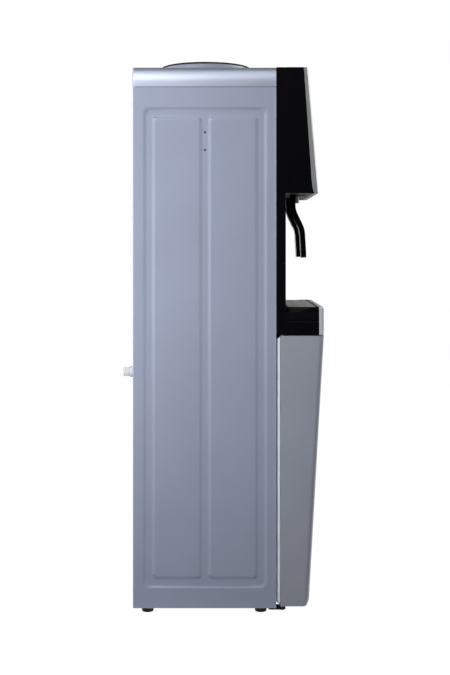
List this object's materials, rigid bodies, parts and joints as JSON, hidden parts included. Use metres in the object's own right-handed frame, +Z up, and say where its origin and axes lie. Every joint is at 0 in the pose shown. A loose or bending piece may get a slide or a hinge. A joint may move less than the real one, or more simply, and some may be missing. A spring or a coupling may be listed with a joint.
{
  "type": "water cooler",
  "caption": "Floor-standing bottle-top water cooler with push-lever taps over a drip tray, a hinged storage door below, and cold and hot tanks inside.",
  "frame": {"origin": "centre of the whole object's outline in plan, at floor height under the feet", "axes": "+Z up; -Y towards the front with the taps and the door; +X to the right when the cooler is seen from the rear, which is the right-hand side for a person who faces its front"},
  "size_m": [0.31, 0.3756, 1.0121],
  "materials": {
    "silver_paint": "semi-gloss silver-grey paint",
    "silver_moulding": "silver-coated moulding",
    "gloss_black": "polished black",
    "satin_black": "fine satin",
    "white_plastic": "satin white",
    "pale_rubber": "soft matt",
    "bare_steel": "fine brushed",
    "zinc_sheet": "zinc-coated sheet",
    "aluminium": "mill finish",
    "foam": "moulded foam",
    "black_rubber": "matt",
    "red_lens": "clear red",
    "green_lens": "clear green",
    "pale_silicone": "smooth translucent"
  },
  "bodies": {
    "cabinet": {"side_panel_left": "silver_paint", "side_panel_right": "silver_paint", "base_plate": "zinc_sheet", "foot_rear_left": "black_rubber", "foot_rear_right": "black_rubber", "foot_front_left": "black_rubber", "foot_front_right": "black_rubber", "rear_panel": "silver_paint", "deck_plate": "zinc_sheet", "tank_bracket": "zinc_sheet", "top_cover": "silver_moulding", "front_panel": "gloss_black", "head_shell": "gloss_black", "head_fascia": "silver_moulding", "control_window": "gloss_black", "heating_lens": "red_lens", "cooling_lens": "green_lens", "hot_tap_body": "pale_silicone", "hot_lever_pin": "bare_steel", "cold_tap_body": "pale_silicone", "cold_lever_pin": "bare_steel", "ledge_housing": "gloss_black", "ledge_trim": "silver_moulding", "cabinet_liner": "white_plastic", "cabinet_shelf": "white_plastic", "lower_hinge_bracket": "satin_black", "lower_hinge_pin": "bare_steel", "upper_hinge_pin": "bare_steel", "cold_tank": "bare_steel", "cold_foam": "foam", "cold_block": "aluminium", "cooling_module": "white_plastic", "heat_sink": "aluminium", "fan_frame": "satin_black", "fan_guard": "satin_black", "hot_tank": "bare_steel", "hot_jacket": "foam", "feed_pipe": "bare_steel", "hot_hose": "pale_silicone", "cold_hose": "pale_silicone", "drain_hose": "pale_silicone", "drain_outlet": "white_plastic", "power_supply": "zinc_sheet", "power_inlet": "satin_black", "switch_housing": "satin_black"},
    "door": {"door_shell": "silver_moulding", "door_liner": "white_plastic", "door_gasket": "pale_rubber"},
    "hot_lever": {"hot_tap_lever": "satin_black"},
    "cold_lever": {"cold_tap_lever": "satin_black"},
    "hot_plunger": {"hot_tap_plunger": "white_plastic"},
    "cold_plunger": {"cold_tap_plunger": "white_plastic"},
    "tray": {"drip_tray": "satin_black"},
    "grille": {"drip_grille": "bare_steel"},
    "seat": {"bottle_seat": "satin_black", "bottle_probe": "white_plastic"},
    "fan": {"fan_rotor": "satin_black"},
    "heating_switch": {"heating_rocker": "red_lens"},
    "cooling_switch": {"cooling_rocker": "green_lens"},
    "cap": {"drain_cap": "white_plastic"}
  },
  "joints": [
    {"name": "door_hinge", "type": "hinge", "parent": "cabinet", "child": "door", "pos_m": [-0.145, -0.1124, 0.26], "axis": [0, 0, -1], "range_deg": [0, 95]},
    {"name": "hot_lever_hinge", "type": "hinge", "parent": "cabinet", "child": "hot_lever", "pos_m": [-0.074, -0.1535, 0.786], "axis": [1, 0, 0], "range_deg": [0, 8], "stiffness_Nm_per_rad": 4, "springref_deg": -2.86},
    {"name": "cold_lever_hinge", "type": "hinge", "parent": "cabinet", "child": "cold_lever", "pos_m": [0.074, -0.1535, 0.786], "axis": [1, 0, 0], "range_deg": [0, 8], "stiffness_Nm_per_rad": 4, "springref_deg": -2.86},
    {"name": "hot_plunger_lift", "type": "slide", "parent": "cabinet", "child": "hot_plunger", "axis": [0, 0, 1], "range_m": [0, 0.0017]},
    {"name": "cold_plunger_lift", "type": "slide", "parent": "cabinet", "child": "cold_plunger", "axis": [0, 0, 1], "range_m": [0, 0.0017]},
    {"name": "drip_tray_lift", "type": "slide", "parent": "cabinet", "child": "tray", "axis": [0, 0, 1], "range_m": [0, 0.04]},
    {"name": "drip_grille_lift", "type": "slide", "parent": "tray", "child": "grille", "axis": [0, 0, 1], "range_m": [0, 0.03]},
    {"name": "bottle_seat_lift", "type": "slide", "parent": "cabinet", "child": "seat", "axis": [0, 0, 1], "range_m": [0, 0.06]},
    {"name": "fan_spin", "type": "hinge", "parent": "cabinet", "child": "fan", "pos_m": [0, 0.1478, 0.8435], "axis": [0, 1, 0], "continuous": true},
    {"name": "heating_switch_rock", "type": "hinge", "parent": "cabinet", "child": "heating_switch", "pos_m": [0.086, 0.1528, 0.615], "axis": [1, 0, 0], "range_deg": [0, 20]},
    {"name": "cooling_switch_rock", "type": "hinge", "parent": "cabinet", "child": "cooling_switch", "pos_m": [0.106, 0.1528, 0.615], "axis": [1, 0, 0], "range_deg": [0, 20]},
    {"name": "drain_cap_pull", "type": "slide", "parent": "cabinet", "child": "cap", "axis": [0, 1, 0], "range_m": [0, 0.02]}
  ],
  "couplings": [
    {"joint": "hot_plunger_lift", "follows": "hot_lever_hinge", "m_per_rad": 0.0115},
    {"joint": "cold_plunger_lift", "follows": "cold_lever_hinge", "m_per_rad": 0.0115}
  ]
}
